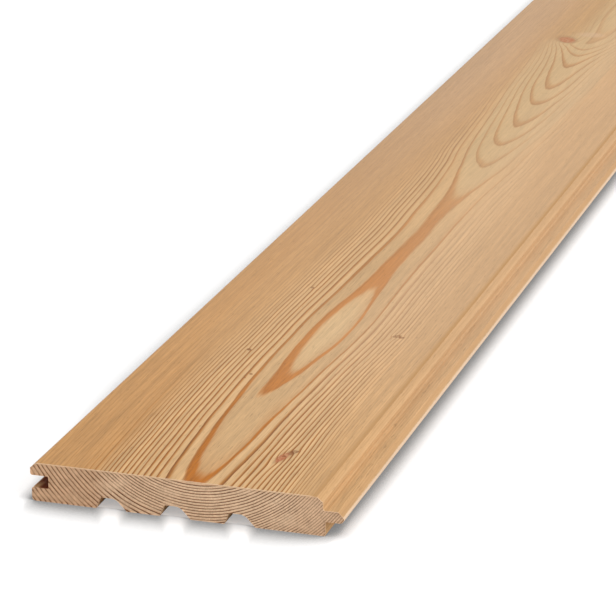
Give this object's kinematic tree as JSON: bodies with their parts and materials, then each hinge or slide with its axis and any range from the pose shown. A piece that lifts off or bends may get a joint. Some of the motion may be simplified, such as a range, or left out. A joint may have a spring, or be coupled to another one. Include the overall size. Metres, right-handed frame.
{
  "type": "tongue and groove board",
  "caption": "Planed softwood cladding board with a tongue and a matching groove along its edges, bevels along its face and relief grooves in its back.",
  "frame": {"origin": "middle of the board's box, at the level of its back, on the floor it lies on", "axes": "+Y along the board's length, +X from the groove to the tongue, +Z out of the face"},
  "size_m": [0.146, 2, 0.018],
  "materials": {
    "planed_softwood": "planed, untreated"
  },
  "bodies": {
    "root": {"board": "planed_softwood"}
  },
  "joints": []
}
